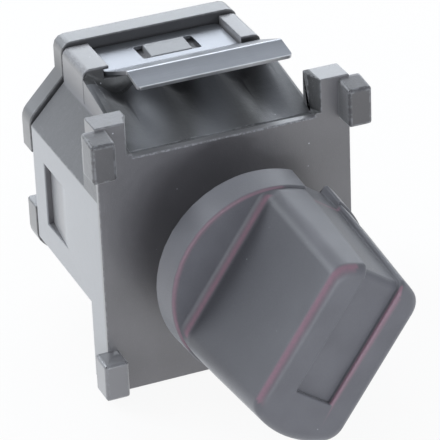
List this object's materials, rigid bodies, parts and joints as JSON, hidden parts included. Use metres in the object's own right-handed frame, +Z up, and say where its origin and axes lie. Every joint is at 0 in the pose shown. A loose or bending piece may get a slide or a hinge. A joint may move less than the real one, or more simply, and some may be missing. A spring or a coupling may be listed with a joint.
{
  "type": "rotary fan switch",
  "caption": "Rotary switch with a bar-shaped pointer knob, square plate with stop blocks, spring clip on top and a plug socket at the back.",
  "frame": {"origin": "on the knob's axis, in the front plane of the square plate", "axes": "-Y out of the dash along the knob, +Z up, +X to the right as the person turning it sees it"},
  "size_m": [0.0462, 0.0759, 0.049],
  "materials": {
    "body_plastic": "moulded, dark grey",
    "rear_plastic": "moulded, dark grey",
    "knob_plastic": "fine grain, dark grey",
    "rotor_nylon": "natural nylon",
    "clip_steel": "plated",
    "spring_steel": "spring steel",
    "terminal_brass": "bright",
    "bridge_copper": "copper alloy"
  },
  "bodies": {
    "housing_body": {"housing": "body_plastic", "rear_socket": "rear_plastic", "retaining_clip": "clip_steel", "terminal_speed_1": "terminal_brass", "terminal_speed_2": "terminal_brass", "terminal_speed_3": "terminal_brass", "terminal_speed_4": "terminal_brass", "terminal_feed": "terminal_brass"},
    "knob_body": {"knob": "knob_plastic", "spindle": "clip_steel", "rotor": "rotor_nylon", "thrust_washer": "clip_steel", "spindle_circlip": "spring_steel", "knob_grip_spring": "spring_steel", "detent_ball_a": "clip_steel", "detent_ball_b": "clip_steel", "detent_spring_a": "spring_steel", "detent_spring_b": "spring_steel", "contact_bridge_a": "bridge_copper", "contact_bridge_b": "bridge_copper", "contact_spring_a": "spring_steel", "contact_spring_b": "spring_steel"}
  },
  "joints": [
    {"name": "knob_turn", "type": "hinge", "parent": "housing_body", "child": "knob_body", "pos_m": [0, 0, 0], "axis": [0, 1, 0], "range_deg": [-105, 35]}
  ]
}
